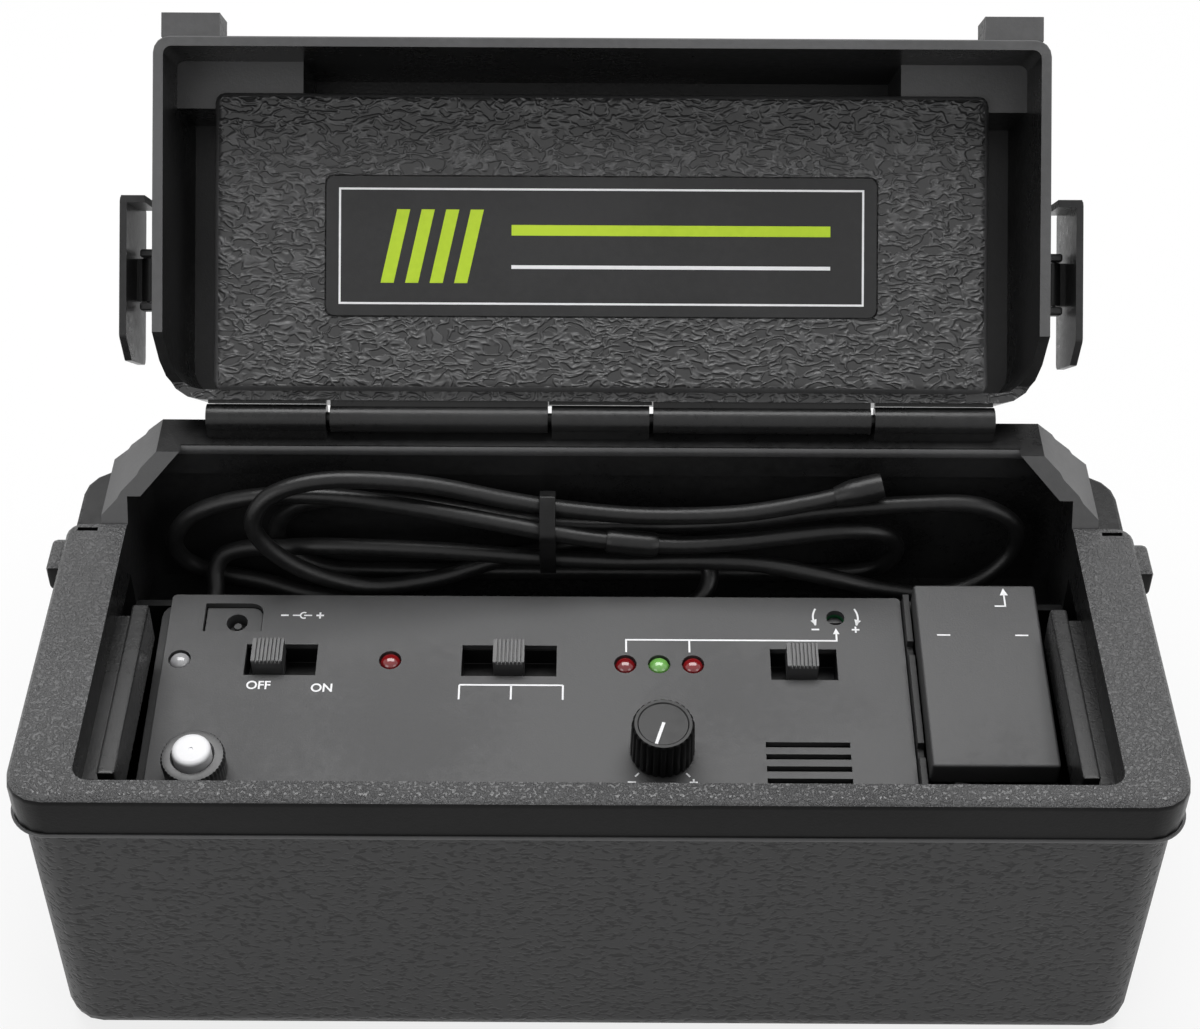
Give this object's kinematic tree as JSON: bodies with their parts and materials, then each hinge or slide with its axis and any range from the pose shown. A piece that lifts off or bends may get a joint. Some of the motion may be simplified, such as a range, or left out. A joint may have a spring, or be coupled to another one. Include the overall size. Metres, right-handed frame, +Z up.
{
  "type": "refrigerant leak detector",
  "caption": "Refrigerant leak detector built into a black moulded carrying case, its hinged lid open, with a sloping control panel and a coiled probe cord in the rear trough.",
  "frame": {"origin": "centre of the case's flat bottom", "axes": "+X to the right and along the case's length, +Y to the rear and the hinge, +Z up"},
  "size_m": [0.2706, 0.1862, 0.1913],
  "materials": {
    "case_black": "leather-grained black moulding",
    "panel_black": "matt black sheet",
    "switch_black": "smooth black plastic",
    "cord_rubber": "satin black rubber",
    "pin_steel": "plain steel",
    "lamp_red": "clear red lens",
    "lamp_green": "clear green lens",
    "lamp_clear": "pale grey lens",
    "cap_white": "white plastic",
    "board_green": "green board"
  },
  "bodies": {
    "base": {"base_case": "case_black", "battery_lamp": "lamp_red", "battery_pack": "switch_black", "calibration_pot": "pin_steel", "charge_lamp": "lamp_clear", "charger_jack": "switch_black", "circuit_board": "board_green", "control_panel": "panel_black", "cord_gland": "cord_rubber", "cord_sleeve": "cord_rubber", "cord_tie": "cord_rubber", "heated_sensor": "pin_steel", "heater_trimmer": "board_green", "high_lamp": "lamp_red", "hinge_pin": "pin_steel", "instrument_tub": "switch_black", "leak_size_switch": "switch_black", "low_lamp": "lamp_red", "mode_switch": "switch_black", "ok_lamp": "lamp_green", "power_switch": "switch_black", "probe_boot": "cord_rubber", "probe_cord": "cord_rubber", "reference_bottle": "cap_white", "reference_cap": "cap_white", "reference_collar": "switch_black", "sampling_pump": "pin_steel", "sensor_cover": "panel_black", "sounder": "switch_black"},
    "lid": {"lid": "case_black", "lid_plate": "panel_black", "latch_left_pin": "pin_steel", "latch_right_pin": "pin_steel"},
    "latch_left": {"latch_left": "case_black"},
    "latch_right": {"latch_right": "case_black"},
    "power_slider": {"power_slider": "switch_black"},
    "leak_size_slider": {"leak_size_slider": "switch_black"},
    "mode_slider": {"mode_slider": "switch_black"},
    "calibration_knob": {"calibration_knob": "switch_black", "knob_shaft": "pin_steel"},
    "trimmer_screw": {"trimmer_screw": "pin_steel"}
  },
  "joints": [
    {"name": "lid_hinge", "type": "hinge", "parent": "base", "child": "lid", "pos_m": [0, 0.051, 0.1075], "axis": [1, 0, 0], "range_deg": [0, 133]},
    {"name": "latch_left_pivot", "type": "hinge", "parent": "lid", "child": "latch_left", "pos_m": [-0.1107, 0.0724, 0.1334], "axis": [0, -0.682, -0.7314], "range_deg": [0, 25]},
    {"name": "latch_right_pivot", "type": "hinge", "parent": "lid", "child": "latch_right", "pos_m": [0.1107, 0.0724, 0.1334], "axis": [0, 0.682, 0.7314], "range_deg": [0, 25]},
    {"name": "power_slide", "type": "slide", "parent": "base", "child": "power_slider", "axis": [1, 0, 0], "range_m": [0, 0.0058]},
    {"name": "leak_size_slide", "type": "slide", "parent": "base", "child": "leak_size_slider", "axis": [1, 0, 0], "range_m": [-0.007, 0.007]},
    {"name": "mode_slide", "type": "slide", "parent": "base", "child": "mode_slider", "axis": [1, 0, 0], "range_m": [-0.0034, 0.0046]},
    {"name": "knob_turn", "type": "hinge", "parent": "base", "child": "calibration_knob", "pos_m": [0.0151, -0.01837, 0.06318], "axis": [0, -0.1167, 0.9932], "range_deg": [-150, 150]},
    {"name": "trimmer_turn", "type": "hinge", "parent": "base", "child": "trimmer_screw", "pos_m": [0.0588, 0.02175, 0.0679], "axis": [0, -0.1167, 0.9932], "range_deg": [-135, 135]}
  ]
}
